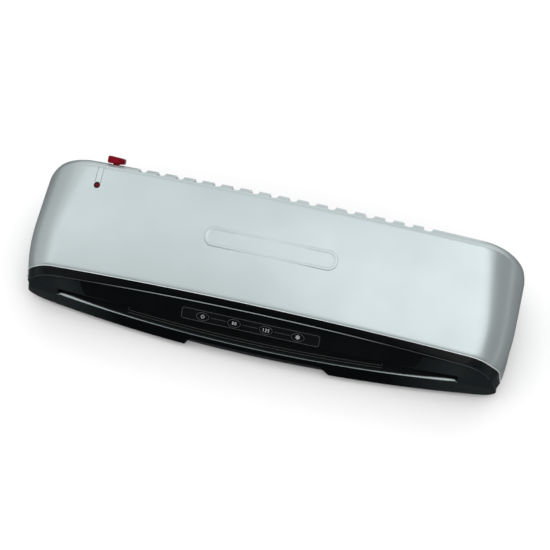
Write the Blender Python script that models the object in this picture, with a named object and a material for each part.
"""Pouch laminator: a shell of four mouldings round a steel chassis with two roller pairs, heater
plates, a gear train, a roller release lever, push buttons and a mains switch.

All sizes below are in millimetres. The frame is +X to the operator's right, -Y to the operator,
+Z up, with the origin under the middle of the machine, on the table. Meshes are stored in metres.
"""

import math

import bmesh
import bpy
from mathutils import Matrix, Vector

MM = 0.001
GAP = 0.3

# --- Casing -------------------------------------------------------------------------------------
HALF_WIDTH = 218.5
WALL = 2.2
CROWN = 4.5
COVER_FOOT_Z = 16.0
SIDE_TAPER = 2.5
FRONT_Y = -41.0
FRONT_Z = 54.0
CREASE_Y = 43.0
CREASE_Z = 96.0
TOP_BULGE = 1.5
# The cover's front edge sweeps back down its sides by FRONT_SWEEP, between two heights, and its
# sides flare out at the foot by FRONT_FLARE at the front edge.
FRONT_SWEEP = 4.0
SWEEP_Z = (27.0, 42.0)
FRONT_NARROW = 5.5
FRONT_FLARE = 5.0
REAR_Y = 65.3
REAR_PANEL_Y = (REAR_Y - 5.1, REAR_Y - 2.7)
# Rings of the top cover behind its crease: y, height, half width, shoulder radius.
REAR_RINGS = (
    (50.0, 93.0, 217.5, 46.0),
    (53.5, 88.0, 216.0, 43.0),
    (56.5, 80.5, 213.5, 39.0),
    (60.5, 67.0, 209.0, 33.0),
    (REAR_Y, 52.0, 203.0, 27.0),
)

VENT_COUNT = 16
VENT_PITCH = 17.07
VENT_WIDTH = 8.0
VENT_FLOOR_Z = 64.0
VENT_START_Y = CREASE_Y + 1.6

# --- Front panel --------------------------------------------------------------------------------
PANEL_WALL = 2.0
PANEL_FOOT_Z = 13.0
TUCK_Y = -36.5
TUCK_ARCH = (209.2, 51.0, 30.0, 24.0)
# The joint with the cover: the cover's front ring, and the panel's two insets from it.
JOINT_ARCH = (HALF_WIDTH - FRONT_NARROW, FRONT_Z, 30.0, 27.0)
JOINT_INSETS = (2.8, 0.4)
JOINT_GAP = 0.4
JOINT_TAPER = -2.5
RIM_Y = -46.5
RIM_BOW = -4.0
RIM_ARCH = (208.5, 49.5, 30.5, 22.0)
RIM_STEP = (1.5, -1.2)
CHIN_Y = -67.5
CHIN_BOW = 18.0
CHIN_Z = 6.3
CHIN_CORNER = 17.0
MOUTH_HALF = 180.0
LIP_Y = -64.0
LIP_Z = 19.0
LIP_BOW = (7.5, 8.0)
SLOT_TOP_Y = -58.5
SLOT_TOP_Z = 33.0
SLOT_TOP_BOW = 4.5
TIP_X = RIM_ARCH[0] + 4.0
# The chin notch: its lower and upper corners along x, and its depth.
CHIN_NOTCH_LEFT = (-61.0, -56.0)
CHIN_NOTCH_RIGHT = (71.0, 62.0)
CHIN_NOTCH_DEPTH = 8.0

# --- Controls -----------------------------------------------------------------------------------
BUTTON_NAMES = ("button_off", "button_thin", "button_thick", "button_cold")
BUTTON_CENTRE = -3.2
BUTTON_PITCH = 28.2
BUTTON_AXES = (6.4, 4.0)
OVERLAY_SIZE = (124.6, 12.0)
OVERLAY_LEVEL = 0.636
LED_X = -164.0
LED_Y = 27.0
LED_RADIUS = 3.0

# --- Rollers and gears --------------------------------------------------------------------------
PATH_Z = 30.0
ROLLER_RADIUS = 10.0
NIP_GAP = 0.3
FEED_Y = -6.0
LOWER_Z = PATH_Z - ROLLER_RADIUS
UPPER_Z = PATH_Z + ROLLER_RADIUS
SLEEVE_HALF = 118.0
SHAFT_RADIUS = 4.0
GEAR_MODULE = 1.0
ROLLER_TEETH = 20
IDLER_TEETH = 24
PINION_TEETH = 14
IDLER_Y = FEED_Y + GEAR_MODULE * (ROLLER_TEETH + IDLER_TEETH) / 2
PULL_Y = IDLER_Y + GEAR_MODULE * (ROLLER_TEETH + IDLER_TEETH) / 2
PINION_Y = FEED_Y - GEAR_MODULE * (ROLLER_TEETH + PINION_TEETH) / 2
GEAR_X = (138.0, 145.0)

# --- Chassis ------------------------------------------------------------------------------------
PLATE_X = (131.0, 133.0)
BLOCK_X = (121.0, 127.0)
BLOCK_Z = (30.5, 48.0)
FLANGE_Z = (59.0, 61.0)
RELEASE_Y = 16.0
RELEASE_Z = 58.0
CAM_RADIUS = 5.0
RELEASE_DEGREES = 28.0
ROLLER_LIFT = 1.0
CAM_OFFSET = ROLLER_LIFT / math.sin(math.radians(RELEASE_DEGREES))
LEVER_X = -154.0
LEVER_ANGLE = 38.0
KNOB_RADII = (46.8, 53.0)

# --- Base ---------------------------------------------------------------------------------------
BASE_Z = (4.0, 20.0)
FLOOR_TOP = 6.2
BASE_HALF = 207.0
BASE_REAR = REAR_PANEL_Y[0] - 0.6
FOOT_XY = (170.0, 45.0)
FOOT_RADIUS = 7.0

SILVER = ("silver_plastic", (0.55, 0.60, 0.60), 0.35, 0.45)
BLACK = ("black_gloss", (0.015, 0.017, 0.018), 0.22, 0.0)
DARK = ("black_matt", (0.03, 0.03, 0.032), 0.55, 0.0)
RED = ("red_plastic", (0.32, 0.01, 0.02), 0.30, 0.0)
STEEL = ("steel", (0.60, 0.61, 0.62), 0.35, 1.0)
SILICONE = ("silicone", (0.50, 0.12, 0.05), 0.75, 0.0)
ACETAL = ("white_acetal", (0.85, 0.85, 0.82), 0.45, 0.0)
ALUMINIUM = ("aluminium", (0.75, 0.76, 0.77), 0.40, 1.0)
RUBBER = ("rubber", (0.02, 0.02, 0.02), 0.85, 0.0)
BOARD = ("circuit_board", (0.02, 0.16, 0.06), 0.50, 0.0)
BRONZE = ("bronze", (0.55, 0.36, 0.16), 0.40, 1.0)
COPPER = ("winding", (0.55, 0.25, 0.08), 0.45, 1.0)


# --- Scene helpers ------------------------------------------------------------------------------
def clear_scene():
    for obj in list(bpy.data.objects):
        bpy.data.objects.remove(obj)


def material(finish):
    name, colour, roughness, metallic = finish
    if name in bpy.data.materials:
        return bpy.data.materials[name]
    made = bpy.data.materials.new(name)
    made.use_nodes = True
    shader = made.node_tree.nodes["Principled BSDF"]
    shader.inputs["Base Color"].default_value = (*colour, 1.0)
    shader.inputs["Roughness"].default_value = roughness
    shader.inputs["Metallic"].default_value = metallic
    return made


def axis_empty(name, origin):
    """An empty on a joint's axis; the pieces that move with the joint are parented to it."""
    empty = bpy.data.objects.new(name, None)
    empty.location = Vector(origin) * MM
    bpy.context.scene.collection.objects.link(empty)
    return empty


def add(name, shape, finish, axis=None, smooth_angle=35):
    """A named object from (points, faces) in world millimetres, with its origin on its axis."""
    points, faces = shape
    origin = Vector(axis.location) if axis else Vector((0, 0, 0))
    mesh = bpy.data.meshes.new(name)
    mesh.from_pydata([Vector(p) * MM - origin for p in points], [], faces)
    work = bmesh.new()
    work.from_mesh(mesh)
    bmesh.ops.remove_doubles(work, verts=work.verts, dist=1e-6)
    bmesh.ops.dissolve_degenerate(work, edges=work.edges, dist=1e-7)
    bmesh.ops.recalc_face_normals(work, faces=work.faces)
    work.to_mesh(mesh)
    work.free()
    mesh.materials.append(material(finish))
    mesh.shade_smooth()
    mesh.set_sharp_from_angle(angle=math.radians(smooth_angle))
    obj = bpy.data.objects.new(name, mesh)
    bpy.context.scene.collection.objects.link(obj)
    if axis:
        obj.parent = axis
    return obj


def boolean(obj, operation, shape):
    """Cuts or joins a shape, kept as a hidden guide object."""
    guide = add(f"{obj.name}_{operation.lower()}_{len(obj.modifiers)}", shape, STEEL)
    guide.hide_render = True
    guide.display_type = "WIRE"
    modifier = obj.modifiers.new(operation.title(), "BOOLEAN")
    modifier.operation = operation
    modifier.solver = "EXACT"
    modifier.object = guide
    return guide


def cut(obj, *shapes):
    return boolean(obj, "DIFFERENCE", joined(*shapes))


def join(obj, *shapes):
    return boolean(obj, "UNION", joined(*shapes))


# --- Shapes: each returns (points, faces) in world millimetres ----------------------------------
def joined(*shapes):
    points, faces = [], []
    for some_points, some_faces in shapes:
        start = len(points)
        points += list(some_points)
        faces += [tuple(start + i for i in face) for face in some_faces]
    return points, faces


def prism(outline, low, high, axis):
    """A flat outline pushed from low to high along an axis: 0 x (y, z), 1 y (x, z), 2 z (x, y)."""
    count = len(outline)

    def place(point, level):
        values = list(point)
        values.insert(axis, level)
        return tuple(values)

    points = [place(p, low) for p in outline] + [place(p, high) for p in outline]
    sides = [(i, (i + 1) % count, count + (i + 1) % count, count + i) for i in range(count)]
    return points, sides + [tuple(range(count)), tuple(range(count, 2 * count))]


def box(x, y, z):
    outline = [(x[0], y[0]), (x[1], y[0]), (x[1], y[1]), (x[0], y[1])]
    return prism(outline, z[0], z[1], 2)


def circle(centre, radius, count=24, phase=0.5):
    steps = [2 * math.pi * (i + phase) / count for i in range(count)]
    return [(centre[0] + radius * math.cos(a), centre[1] + radius * math.sin(a)) for a in steps]


def ellipse(centre, radii, count=24):
    steps = [2 * math.pi * i / count for i in range(count)]
    return [(centre[0] + radii[0] * math.cos(a), centre[1] + radii[1] * math.sin(a)) for a in steps]


def rod(centre, radius, x, count=24):
    return prism(circle(centre, radius, count), x[0], x[1], 0)


def post(centre, radius, z, count=16):
    return prism(circle(centre, radius, count), z[0], z[1], 2)


def turned(profile, centre, count=24):
    """A closed profile of (x, radius) turned about an axis along X."""
    points = []
    for x, radius in profile:
        points += [(x, y, z) for y, z in circle(centre, radius, count)]
    faces = []
    rings = len(profile)
    for j in range(rings):
        for i in range(count):
            k, m = (i + 1) % count, (j + 1) % rings
            faces.append((j * count + i, j * count + k, m * count + k, m * count + i))
    return points, faces


def grid(rows, closed_rows=False):
    """A sheet of quads through rows of equal numbers of points."""
    width = len(rows[0])
    points = [p for row in rows for p in row]
    faces = []
    last = len(rows) if closed_rows else len(rows) - 1
    for j in range(last):
        k = (j + 1) % len(rows)
        for i in range(width - 1):
            faces.append((j * width + i, j * width + i + 1, k * width + i + 1, k * width + i))
    return points, faces


def solid_loft(sections):
    """A closed solid through a row of closed sections, with flat ends."""
    count = len(sections[0])
    points = [p for section in sections for p in section]
    faces = []
    for j in range(len(sections) - 1):
        for i in range(count):
            k = (i + 1) % count
            faces.append((j * count + i, j * count + k, (j + 1) * count + k, (j + 1) * count + i))
    last = (len(sections) - 1) * count
    return points, faces + [tuple(range(count)), tuple(range(last, last + count))]


def moved(shape, matrix):
    points, faces = shape
    return [tuple(matrix @ Vector(p)) for p in points], faces


# --- The casing's curves ------------------------------------------------------------------------
def arch(half, height, radius, drop, foot, taper=SIDE_TAPER, fillet_steps=6, top_steps=10):
    """An arch in (x, z) from the left foot over the crowned top to the right foot.

    Its shoulders are quarter ellipses, radius wide and drop high.
    """
    shoulder = height - CROWN - drop
    left = [(-half + taper, foot)]
    for i in range(fillet_steps + 1):
        angle = math.pi / 2 * i / fillet_steps
        left.append((-half + radius - radius * math.cos(angle), shoulder + drop * math.sin(angle)))
    flat = half - radius
    steps = [-1 + 2 * i / top_steps for i in range(1, top_steps)]
    top = [(flat * t, height - CROWN * t * t) for t in steps]
    return left + top + [(-x, z) for x, z in reversed(left)]


def cover_rings():
    """The top cover's rings from its front edge to its rear edge, as rows of points."""
    rows = []
    for step in (0, 0.12, 0.35, 0.6, 0.85, 1.0):
        y = FRONT_Y + (CREASE_Y - FRONT_Y) * step
        height = FRONT_Z + (CREASE_Z - FRONT_Z) * step + 4 * TOP_BULGE * step * (1 - step)
        half = HALF_WIDTH - FRONT_NARROW * max(0.0, 1 - 2 * step) ** 2
        radius = 30 + 18 * step
        drop = 27 + 21 * step
        taper = SIDE_TAPER - FRONT_FLARE * (1 - step) ** 2
        ring = arch(half, height, radius, drop, COVER_FOOT_Z, taper)
        rows.append([(x, y + (1 - step) * front_sweep(x, z), z) for x, z in ring])
    for y, height, half, radius in REAR_RINGS:
        rows.append([(x, y, z) for x, z in arch(half, height, radius, radius, COVER_FOOT_Z)])
    return rows


def front_sweep(x, z):
    """The cover's front edge bows forward at its ends and sweeps back down its sides."""
    bow = -2.0 * (x / HALF_WIDTH) ** 2
    low, high = SWEEP_Z
    return bow + FRONT_SWEEP * min(1.0, max(0.0, (high - z) / (high - low)))


def chin_y(x):
    return CHIN_Y + CHIN_BOW * (x / TIP_X) ** 2


def chin_z(x):
    over = min(1.0, max(0.0, (abs(x) - TIP_X + CHIN_CORNER) / CHIN_CORNER))
    return CHIN_Z + (PANEL_FOOT_Z - CHIN_Z) * (1 - math.sqrt(1 - over * over))


def mix(a, b, share):
    return tuple(p + (q - p) * share for p, q in zip(a, b))


def lip_point(x):
    q = (x / MOUTH_HALF) ** 2
    return LIP_Y + LIP_BOW[0] * q, LIP_Z + LIP_BOW[1] * q


def slot_top_point(x):
    q = (x / MOUTH_HALF) ** 2
    return SLOT_TOP_Y + SLOT_TOP_BOW * q, SLOT_TOP_Z


def face_column(x, z, inset=0.0):
    """The front panel's face under the rim point (x, z): five points down to its chin."""
    half, tip, back = RIM_ARCH[0] - inset, TIP_X - inset, 1.4 * inset
    beyond = max(0.0, (abs(x) - MOUTH_HALF) / (half - MOUTH_HALF))
    chin_x = math.copysign(min(abs(x), MOUTH_HALF) + (tip - MOUTH_HALF) * beyond, x)
    full_x = chin_x * TIP_X / tip
    chin = (chin_x, chin_y(full_x) + back, chin_z(full_x))
    rim = (x, RIM_Y + RIM_BOW * (x / half) ** 2 + back, z)
    share = min(1.0, (half - abs(x)) / 10)
    recess = (x, rim[1] + RIM_STEP[0] * share, z + RIM_STEP[1] * share)
    if beyond <= 0:
        middle = [(x, y + back, z) for y, z in (slot_top_point(x), lip_point(x))]
        return [rim, recess, *middle, chin]
    fade = math.sqrt(max(0.0, 1 - beyond * beyond))
    recess_y = RIM_Y + RIM_BOW * (MOUTH_HALF / RIM_ARCH[0]) ** 2 + RIM_STEP[0]
    middle = []
    for level, (y, _) in ((0.71, slot_top_point(MOUTH_HALF)), (0.55, lip_point(MOUTH_HALF))):
        here = mix(chin, recess, level)
        bulge = (y - mix((chin_y(MOUTH_HALF), 0), (recess_y, 0), level)[0]) * fade
        middle.append((here[0], here[1] + bulge, here[2]))
    return [rim, recess, *middle, chin]


def plan_outline(inset):
    """The base's outline in (x, y): a bowed front and rounded rear corners."""
    half = BASE_HALF - inset
    rear = BASE_REAR - inset
    front = []
    for i in range(13):
        x = half * (-1 + i / 6)
        front.append((x, chin_y(x) + 5.0 + inset))
    corner = 14.0
    right = []
    for i in range(5):
        angle = math.pi / 2 * i / 4
        right.append((half - corner + corner * math.cos(angle), rear - corner + corner * math.sin(angle)))
    return front + right + [(-x, y) for x, y in reversed(right)]


# --- Casing parts -------------------------------------------------------------------------------
def build_top_cover():
    cover = add("top_cover", grid(cover_rings()), SILVER)
    shell = cover.modifiers.new("Shell", "SOLIDIFY")
    shell.thickness = WALL * MM
    shell.offset = -1
    shell.use_even_offset = True
    reach = (VENT_START_Y, REAR_Y + 10)
    tall = (VENT_FLOOR_Z, CREASE_Z + 10)
    vents = []
    for i in range(VENT_COUNT):
        x = (i - (VENT_COUNT - 1) / 2) * VENT_PITCH
        vents.append(box((x - VENT_WIDTH / 2, x + VENT_WIDTH / 2), reach, tall))
    cut(cover, *vents)
    cut(cover, lever_slot())
    tilt = math.atan2(CREASE_Z - FRONT_Z, CREASE_Y - FRONT_Y)
    place = Matrix.Translation((LED_X, LED_Y, led_z())) @ Matrix.Rotation(tilt, 4, "X")
    cut(cover, moved(post((0, 0), LED_RADIUS, (-8, 8)), place))
    lens = turned_z([(-4.0, 2.6), (0.2, 2.6), (0.9, 1.9), (1.2, 0.9)])
    add("indicator_lens", moved(lens, place), RED)


def led_z():
    step = (LED_Y - FRONT_Y) / (CREASE_Y - FRONT_Y)
    height = FRONT_Z + (CREASE_Z - FRONT_Z) * step + 4 * TOP_BULGE * step * (1 - step)
    flat = HALF_WIDTH - 30 - 18 * step
    return height - CROWN * (LED_X / flat) ** 2


def turned_z(profile, count=16):
    """A solid of revolution about Z from (z, radius) pairs, with flat ends."""
    sections = [[(x, y, z) for x, y in circle((0, 0), radius, count)] for z, radius in profile]
    return solid_loft(sections)


def lever_slot():
    """The opening that the lever's arm sweeps: a wedge about the release axis."""
    low = math.radians(LEVER_ANGLE - RELEASE_DEGREES - 6)
    high = math.radians(LEVER_ANGLE + 6)
    outline = [(RELEASE_Y, RELEASE_Z)]
    for i in range(4):
        angle = low + (high - low) * i / 3
        outline.append((RELEASE_Y + 80 * math.cos(angle), RELEASE_Z + 80 * math.sin(angle)))
    return prism(outline, LEVER_X - 4, LEVER_X + 4, 0)


def panel_sheet(inset):
    """One side of the front panel: its points, faces and border.

    Its rows run from the tuck inside the cover, over the joint with the cover, to the rim and chin.
    """
    backs = [[(x, TUCK_Y + front_sweep(x, z), z) for x, z in inset_arch(TUCK_ARCH, inset)]]
    for depth in JOINT_INSETS:
        ring = inset_arch(JOINT_ARCH, inset + depth, JOINT_TAPER)
        y = FRONT_Y - JOINT_GAP - inset
        backs.append([(x, y + front_sweep(x, z), z) for x, z in ring])
    columns = [face_column(x, z, inset) for x, z in inset_arch(RIM_ARCH, inset)[1:-1]]
    rows = [back[1:-1] for back in backs] + [[column[k] for column in columns] for k in range(5)]
    points, faces = grid(rows)
    width, last = len(columns), len(rows) - 1
    feet = []
    for side, column in ((0, 0), (-1, width - 1)):
        first = len(points)
        points += [back[side] for back in backs]
        feet.append([first, first + 1, first + 2])
        for k in range(2):
            faces.append((first + k, k * width + column, (k + 1) * width + column, first + k + 1))
        faces.append((first + 2, *[row * width + column for row in range(2, last + 1)]))
    border = [*reversed(feet[0]), *range(width), *feet[1]]
    border += [last * width + i for i in reversed(range(width))]
    return points, faces, border


def inset_arch(sizes, inset, taper=RIM_ARCH[0] - TIP_X):
    sizes = [size - inset for size in sizes]
    return arch(*sizes, foot=PANEL_FOOT_Z, taper=taper)


def build_front_panel():
    outer, faces, border = panel_sheet(0.0)
    inner = panel_sheet(PANEL_WALL)[0]
    count = len(outer)
    faces = faces + [tuple(count + i for i in reversed(face)) for face in faces]
    for i, a in enumerate(border):
        b = border[(i + 1) % len(border)]
        faces.append((a, b, b + count, a + count))
    panel = add("front_panel", (outer + inner, faces), BLACK)
    cut(panel, mouth_cutter())
    cut(panel, chin_notch())
    cut(panel, *[button_prism(i, GAP, (-9, 6)) for i in range(len(BUTTON_NAMES))])


def mouth_cutter():
    low = [(x, lip_point(x)[1] + 0.4) for x in [MOUTH_HALF * (-1 + i / 8) for i in range(1, 16)]]
    tip = (lip_point(MOUTH_HALF)[1] + SLOT_TOP_Z) / 2
    outline = [(-MOUTH_HALF + 0.5, tip), *low, (MOUTH_HALF - 0.5, tip)]
    outline += [(MOUTH_HALF - 4, SLOT_TOP_Z - 0.4), (-MOUTH_HALF + 4, SLOT_TOP_Z - 0.4)]
    return prism(outline, -75, -46, 1)


def chin_notch():
    low, high = CHIN_Z - 1, CHIN_Z + CHIN_NOTCH_DEPTH
    outline = [(CHIN_NOTCH_LEFT[0], low), (CHIN_NOTCH_RIGHT[0], low)]
    outline += [(CHIN_NOTCH_RIGHT[1], high), (CHIN_NOTCH_LEFT[1], high)]
    return prism(outline, -80, -55, 1)


def fascia_frame():
    """A frame on the fascia at x = 0: local X is world X, local Z is its outward normal."""
    recess, slot_top = face_column(0.0, RIM_ARCH[1])[1:3]
    down = (Vector(slot_top) - Vector(recess)).normalized()
    normal = Vector((0, down.z, -down.y))
    if normal.y > 0:
        normal = -normal
    up = -down
    centre = mix(recess, slot_top, OVERLAY_LEVEL)
    frame = Matrix.Identity(4)
    for row in range(3):
        frame[row][0] = (1, 0, 0)[row]
        frame[row][1] = up[row]
        frame[row][2] = normal[row]
        frame[row][3] = centre[row]
    return frame


def button_x(index):
    return BUTTON_CENTRE + (index - (len(BUTTON_NAMES) - 1) / 2) * BUTTON_PITCH


def button_prism(index, grow, z):
    radii = (BUTTON_AXES[0] + grow, BUTTON_AXES[1] + grow)
    shape = prism(ellipse((button_x(index), 0), radii), z[0], z[1], 2)
    return moved(shape, fascia_frame())


def build_controls():
    frame = fascia_frame()
    width, height = OVERLAY_SIZE
    rows = []
    for level in (-0.5, 0.5):
        columns = [BUTTON_CENTRE + width * (-0.5 + i / 8) for i in range(9)]
        rows.append([(x, level * height) for x in columns])
    low, high = [], []
    for row in rows:
        low.append([(x, y, GAP + sag(x)) for x, y in row])
        high.append([(x, y, GAP + 0.4 + sag(x)) for x, y in row])
    sheet = grid([low[0], low[1], high[1], high[0]], closed_rows=True)
    ends = [(0, 9, 18, 27), (8, 35, 26, 17)]
    overlay = add("control_overlay", moved((sheet[0], sheet[1] + ends), frame), BLACK)
    cut(overlay, *[button_prism(i, GAP, (-2, 3)) for i in range(len(BUTTON_NAMES))])
    for i, name in enumerate(BUTTON_NAMES):
        centre = frame @ Vector((button_x(i), 0, 0))
        key = axis_empty(f"{name}_axis", centre)
        cap = button_prism(i, 0, (-3.6, 1.1))
        button = add(name, cap, DARK, key)
        flange = prism(ellipse((button_x(i), 0), (7.4, 5.2)), -4.1, -3.3, 2)
        join(button, moved(flange, frame))
    board = prism([(-60, -3.6), (60, -3.6), (60, 4.8), (-60, 4.8)], -6.6, -5.4, 2)
    add("control_board", moved(board, frame), BOARD)


def sag(x):
    """How far the fascia bows inward at x, measured along its normal."""
    return -0.45 * SLOT_TOP_BOW * (x / MOUTH_HALF) ** 2


def build_rear_panel():
    outline = arch(197.6, 49.4, 25.0, 25.0, foot=5.0, taper=0.0)
    panel = add("rear_panel", prism(outline, *REAR_PANEL_Y, 1), DARK)
    reach = (REAR_PANEL_Y[0] - 5, REAR_PANEL_Y[1] + 5)
    exit_slot = box((-122.0, 122.0), reach, (PATH_Z - 3.5, PATH_Z + 3.5))
    switch_hole = box((-182.5, -159.5), reach, (26.0, 40.0))
    inlet_hole = box((157.0, 181.0), reach, (22.0, 38.0))
    cut(panel, exit_slot, switch_hole, inlet_hole)


def build_base():
    base = add("base_tray", prism(plan_outline(0), BASE_Z[0], BASE_Z[1], 2), DARK)
    cut(base, prism(plan_outline(WALL), FLOOR_TOP, BASE_Z[1] + 5, 2))
    cut(base, box((-BASE_HALF - 5, BASE_HALF + 5), (CHIN_Y - 5, -28), (12.5, BASE_Z[1] + 5)))
    cut(base, *[post(xy, 1.9, (0, 12)) for xy in screw_places()])
    posts = [post((x, y), 3.0, (FLOOR_TOP - 1, 11.7), 12) for x in (-196, -146) for y in (-30, 36)]
    join(base, *posts)
    corners = {"front_left": (-1, -1), "front_right": (1, -1), "rear_left": (-1, 1), "rear_right": (1, 1)}
    for label, (side, end) in corners.items():
        centre = (side * FOOT_XY[0], end * FOOT_XY[1])
        sections = [(0.0, FOOT_RADIUS - 1.0), (1.2, FOOT_RADIUS), (BASE_Z[0] - GAP, FOOT_RADIUS)]
        place = Matrix.Translation((*centre, 0))
        add(f"foot_{label}", moved(turned_z(sections), place), RUBBER)
    for label, xy in zip(corners, screw_places()):
        shape = turned_z([(2.0, 2.6), (BASE_Z[0] - GAP, 3.2), (BASE_Z[0] - GAP, 1.5), (10.6, 1.5)], 12)
        add(f"chassis_screw_{label}", moved(shape, Matrix.Translation((*xy, 0))), STEEL)


def screw_places():
    return [(-125.0, -30.0), (125.0, -30.0), (-125.0, 45.0), (125.0, 45.0)]


# --- Guides -------------------------------------------------------------------------------------
def build_guides():
    sections = []
    for i in range(17):
        x = 176 * (-1 + i / 8)
        y, z = lip_point(x)
        front = y + PANEL_WALL + 1.5
        top = PATH_Z - 2.7
        section = [(front, z - 3.0), (-44.0, top - 2.0), (-44.0, top), (-50.0, top), (front, min(z - 0.4, top))]
        sections.append([(x, *p) for p in section])
    tray = add("feed_tray", solid_loft(sections), BLACK)
    join(tray, box((-117.0, 117.0), (-45.0, -18.0), (PATH_Z - 4.7, PATH_Z - 2.7)))
    upper = box((-117.0, 117.0), (-46.0, -18.0), (PATH_Z + 2.8, PATH_Z + 4.6))
    add("entry_guide_upper", upper, DARK)
    reach = (50.0, REAR_PANEL_Y[0] - GAP)
    guide = add("exit_guide", box((-120.0, 120.0), reach, (PATH_Z - 4.7, PATH_Z + 4.7)), DARK)
    cut(guide, box((-117.0, 117.0), (40.0, 70.0), (PATH_Z - 2.7, PATH_Z + 2.7)))


# --- Chassis ------------------------------------------------------------------------------------
def mirrored_x(pair, side):
    return tuple(sorted((side * pair[0], side * pair[1])))


def build_chassis():
    outline = [(-36, 6.6), (50, 6.6), (50, 61), (30, 61), (26, 66), (6, 66), (2, 61), (-14, 61), (-36, 46)]
    for side, label in ((-1, "left"), (1, "right")):
        x = mirrored_x(PLATE_X, side)
        plate = add(f"side_plate_{label}", prism(outline, x[0], x[1], 0), STEEL)
        inner = mirrored_x((PLATE_X[0] - 12, PLATE_X[0] + 1), side)
        join(
            plate,
            box(inner, (-36, 50), (6.6, 8.4)),
            box(inner, (-13, 1), FLANGE_Z),
            box(inner, (31, 45), FLANGE_Z),
        )
        through = mirrored_x((PLATE_X[0] - 2, PLATE_X[1] + 2), side)
        holes = [rod((y, LOWER_Z), 6.4, through) for y in (FEED_Y, PULL_Y)]
        holes += [window(y, through) for y in (FEED_Y, PULL_Y)]
        holes += [rod((RELEASE_Y, RELEASE_Z), 3.4, through), rod((RELEASE_Y, 12), 3.3, through)]
        holes += [rod((-22, 12), 3.3, through)]
        cut(plate, *holes)
        cut(plate, *[post(xy, 1.9, (0, 12)) for xy in screw_places() if xy[0] * side > 0])
        if side > 0:
            join(plate, rod((IDLER_Y, LOWER_Z), 3.0, (PLATE_X[1] - 1, GEAR_X[1] + 2)))
        for y, name in ((FEED_Y, "feed"), (PULL_Y, "pull")):
            build_bush(f"bush_{name}_{label}", y, side)
    for y, name in ((-22.0, "front_tie_bar"), (RELEASE_Y, "middle_tie_bar")):
        add(name, rod((y, 12.0), 3.0, (-136.0, 136.0), 16), STEEL)


def window(y, x):
    """A vertical window that a lifting shaft passes through."""
    outline = [(y - 5.0, UPPER_Z - 5.0), (y + 5.0, UPPER_Z - 5.0), (y + 5.0, UPPER_Z + 6.5)]
    outline.append((y - 5.0, UPPER_Z + 6.5))
    return prism(outline, x[0], x[1], 0)


def build_bush(name, y, side):
    inner, outer, flange = SHAFT_RADIUS + 0.25, 6.0, 8.0
    profile = [
        (PLATE_X[0] - 1.8, inner),
        (PLATE_X[1] + 1.5, inner),
        (PLATE_X[1] + 1.5, outer),
        (PLATE_X[0] - GAP, outer),
        (PLATE_X[0] - GAP, flange),
        (PLATE_X[0] - 1.8, flange),
    ]
    add(name, turned([(side * x, r) for x, r in profile], (y, LOWER_Z)), BRONZE)


def build_carriages():
    """The blocks that carry the upper shafts; the release cams lift them by their towers."""
    outline = [(-16, BLOCK_Z[0]), (48, BLOCK_Z[0]), (48, BLOCK_Z[1]), (25, BLOCK_Z[1]), (25, 67), (4, 67)]
    outline += [(4, BLOCK_Z[1]), (-16, BLOCK_Z[1])]
    for side, label in ((-1, "left"), (1, "right")):
        x = mirrored_x(BLOCK_X, side)
        block = add(f"bearing_block_{label}", prism(outline, x[0], x[1], 0), ACETAL)
        through = mirrored_x((BLOCK_X[0] - 2, BLOCK_X[1] + 2), side)
        holes = [rod((y, UPPER_Z), SHAFT_RADIUS + 0.25, through) for y in (FEED_Y, PULL_Y)]
        holes.append(box(through, (8.0, 20.4), (52.4, RELEASE_Z + CAM_RADIUS + GAP)))
        cut(block, *holes)
        for y, name in ((FEED_Y, "feed"), (PULL_Y, "pull")):
            centre = (side * sum(BLOCK_X) / 2, y)
            shape = coil(centre, BLOCK_Z[1] + GAP, FLANGE_Z[0] - GAP)
            add(f"spring_{name}_{label}", shape, STEEL)


def coil(centre, low, high, turns=4, steps=8, sides=5, radius=3.6, wire=0.6):
    """A compression spring standing along Z, its wire's ends capped."""
    sections = []
    total = turns * steps
    for i in range(total + 1):
        angle = 2 * math.pi * i / steps
        out = Vector((math.cos(angle), math.sin(angle), 0))
        height = low + wire + (high - low - 2 * wire) * i / total
        middle = Vector((*centre, height)) + out * radius
        ring = []
        for k in range(sides):
            turn = 2 * math.pi * k / sides
            ring.append(tuple(middle + out * wire * math.cos(turn) + Vector((0, 0, wire * math.sin(turn)))))
        sections.append(ring)
    return solid_loft(sections)


def build_heaters():
    lower = box((-130.6, 130.6), (5.5, 26.5), (21.5, PATH_Z - 0.9))
    plate = add("heater_plate_lower", lower, ALUMINIUM)
    cut(plate, box((-100.0, 100.0), (9.0, 23.0), (15.0, 24.0)))
    upper = box((-119.0, 119.0), (5.5, 26.5), (PATH_Z + 0.9, 38.5))
    plate = add("heater_plate_upper", upper, ALUMINIUM)
    cut(plate, box((-100.0, 100.0), (9.0, 23.0), (36.0, 45.0)))
    join(plate, *[box(mirrored_x((117.2, 119.0), s), (8, 24), (PATH_Z - 0.6, 34)) for s in (-1, 1)])


# --- Rollers and gears --------------------------------------------------------------------------
def gear_outline(teeth, phase):
    """An involute gear's outline in (y, z), with a tooth centred at the phase angle."""
    pitch = GEAR_MODULE * teeth / 2
    pressure = math.radians(20)
    base = pitch * math.cos(pressure)
    thickness = math.pi * GEAR_MODULE / 2 - 0.16
    half = thickness / (2 * pitch) + math.tan(pressure) - pressure

    def flank(radius):
        if radius <= base:
            return half
        turn = math.acos(base / radius)
        return half - (math.tan(turn) - turn)

    radii = (pitch - 1.25 * GEAR_MODULE, pitch - 0.3 * GEAR_MODULE, pitch + 0.85 * GEAR_MODULE)
    outline = []
    for i in range(teeth):
        middle = phase + 2 * math.pi * i / teeth
        for radius in radii:
            outline.append(polar(radius, middle - flank(radius)))
        for radius in reversed(radii):
            outline.append(polar(radius, middle + flank(radius)))
    return outline


def polar(radius, angle):
    return radius * math.cos(angle), radius * math.sin(angle)


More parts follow.
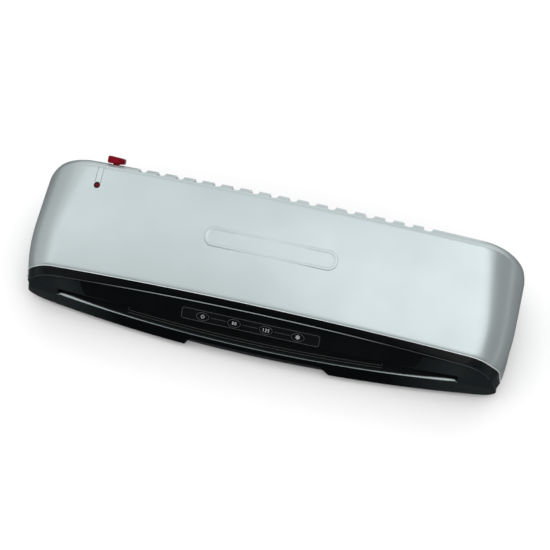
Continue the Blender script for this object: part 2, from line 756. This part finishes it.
def gear(name, teeth, centre, phase, bore, axis, x=GEAR_X):
    outline = [(centre[0] + y, centre[1] + z) for y, z in gear_outline(teeth, phase)]
    made = add(name, prism(outline, x[0], x[1], 0), ACETAL, axis)
    if bore:
        cut(made, rod(centre, bore, (x[0] - 3, x[1] + 3)))
    return made


def build_rollers():
    half_tooth = math.pi / ROLLER_TEETH
    places = {
        "feed_roller_lower": (FEED_Y, LOWER_Z, half_tooth),
        "pull_roller_lower": (PULL_Y, LOWER_Z, half_tooth),
        "feed_roller_upper": (FEED_Y, UPPER_Z, 0.0),
        "pull_roller_upper": (PULL_Y, UPPER_Z, 0.0),
    }
    for name, (y, z, phase) in places.items():
        axis = axis_empty(f"{name}_axis", (0, y, z))
        shaft = rod((y, z), SHAFT_RADIUS, (-142.0, 149.0))
        add(f"{name}_shaft", shaft, STEEL, axis)
        radius = ROLLER_RADIUS - NIP_GAP / 2
        profile = [(-SLEEVE_HALF, SHAFT_RADIUS + 0.25), (SLEEVE_HALF, SHAFT_RADIUS + 0.25)]
        profile += [(SLEEVE_HALF, radius), (-SLEEVE_HALF, radius)]
        add(f"{name}_sleeve", turned(profile, (y, z), 32), SILICONE, axis)
        gear(name.replace("roller", "gear"), ROLLER_TEETH, (y, z), phase, SHAFT_RADIUS + 0.25, axis)
    idler_axis = axis_empty("idler_axis", (0, IDLER_Y, LOWER_Z))
    gear("idler_gear", IDLER_TEETH, (IDLER_Y, LOWER_Z), 0.0, 3.3, idler_axis)


def build_motor():
    centre, output = (-15.0, 33.0), (PINION_Y, LOWER_Z)
    motor = add("gear_motor", rod(centre, 22.0, (150.0, 170.0), 32), STEEL)
    join(motor, *[rod(place, 3.0, (PLATE_X[1] + GAP, 152.0), 12) for place in ((-31, 38), (-17, 54))])
    cut(motor, rod(output, 2.9, (149.0, 154.0), 16))
    axis = axis_empty("pinion_axis", (0, *output))
    pinion = gear("motor_pinion", PINION_TEETH, output, 0.0, None, axis, (GEAR_X[0], GEAR_X[1] + 1))
    join(pinion, rod(output, 2.4, (GEAR_X[1], 153.0), 16))


# --- Release ------------------------------------------------------------------------------------
def build_release():
    axis = axis_empty("release_axis", (0, RELEASE_Y, RELEASE_Z))
    shaft = add("release_shaft", rod((RELEASE_Y, RELEASE_Z), 3.0, (-162.0, 137.0)), STEEL, axis)
    eccentric = (RELEASE_Y - CAM_OFFSET, RELEASE_Z)
    cams = [rod(eccentric, CAM_RADIUS, mirrored_x((121.5, 126.5), side)) for side in (-1, 1)]
    join(shaft, *cams)
    turn = Matrix.Translation((0, RELEASE_Y, RELEASE_Z))
    turn = turn @ Matrix.Rotation(math.radians(LEVER_ANGLE), 4, "X")
    arm = box((LEVER_X - 2.5, LEVER_X + 2.5), (5.0, KNOB_RADII[0] + 1), (-3.5, 3.5))
    knob_profile = [(KNOB_RADII[0], -5.0), (KNOB_RADII[1] - 1.5, -5.0), (KNOB_RADII[1], -3.5)]
    knob_profile += [(KNOB_RADII[1], 3.0), (KNOB_RADII[1] - 2.5, 5.0), (KNOB_RADII[0], 5.0)]
    knob = prism(knob_profile, LEVER_X - 7.4, LEVER_X + 7.4, 0)
    hub = rod((RELEASE_Y, RELEASE_Z), 6.5, (LEVER_X - 4, LEVER_X + 4))
    lever = add("release_lever", hub, RED, axis)
    join(lever, moved(arm, turn))
    join(lever, moved(knob, turn))
    cut(lever, rod((RELEASE_Y, RELEASE_Z), 3.25, (LEVER_X - 6, LEVER_X + 6)))


# --- Electrics ----------------------------------------------------------------------------------
def build_electrics():
    board = box((-200.0, -142.0), (-34.0, 40.0), (12.0, 13.6))
    add("power_board", board, BOARD)
    core = add("transformer", box((-190.0, -160.0), (-26.0, -2.0), (14.0, 38.0)), COPPER)
    join(core, box((-193.0, -157.0), (-20.0, -8.0), (14.0, 32.0)))
    face = REAR_PANEL_Y[1]
    flange = (face + GAP, face + 1.5)
    frame = add("mains_switch_frame", box((-182.2, -159.8), (face - 15, face + 0.9), (26.3, 39.7)), DARK)
    join(frame, box((-184.5, -157.5), flange, (24.5, 41.5)))
    cut(frame, box((-180.4, -161.6), (face - 9, face + 5), (28.0, 38.0)))
    inlet = add("power_inlet", box((157.3, 180.7), (face - 17, face + 0.9), (22.3, 37.7)), DARK)
    join(inlet, box((155.0, 183.0), flange, (20.5, 39.5)))
    cut(inlet, box((160.0, 178.0), (face - 13, face + 5), (25.0, 35.0)))
    join(inlet, *[rod_y((x, PATH_Z), 1.4, (face - 15, face - 3)) for x in (165.0, 173.0)])
    pivot = (-171.0, face - 1.8, 33.0)
    axis = axis_empty("rocker_axis", pivot)
    tilt = Matrix.Translation(pivot) @ Matrix.Rotation(math.radians(8), 4, "Z")
    outline = [(-9.0, 2.4), (-7.0, 3.4), (0.0, 2.4), (7.0, 3.4), (9.0, 2.4), (7.0, -3.0), (-7.0, -3.0)]
    rocker = prism(outline, -4.6, 4.6, 2)
    add("mains_switch_rocker", moved(rocker, tilt), RED, axis)


def rod_y(centre, radius, y):
    return prism(circle(centre, radius, 12), y[0], y[1], 1)


clear_scene()
build_top_cover()
build_front_panel()
build_controls()
build_rear_panel()
build_base()
build_guides()
build_chassis()
build_carriages()
build_heaters()
build_rollers()
build_motor()
build_release()
build_electrics()
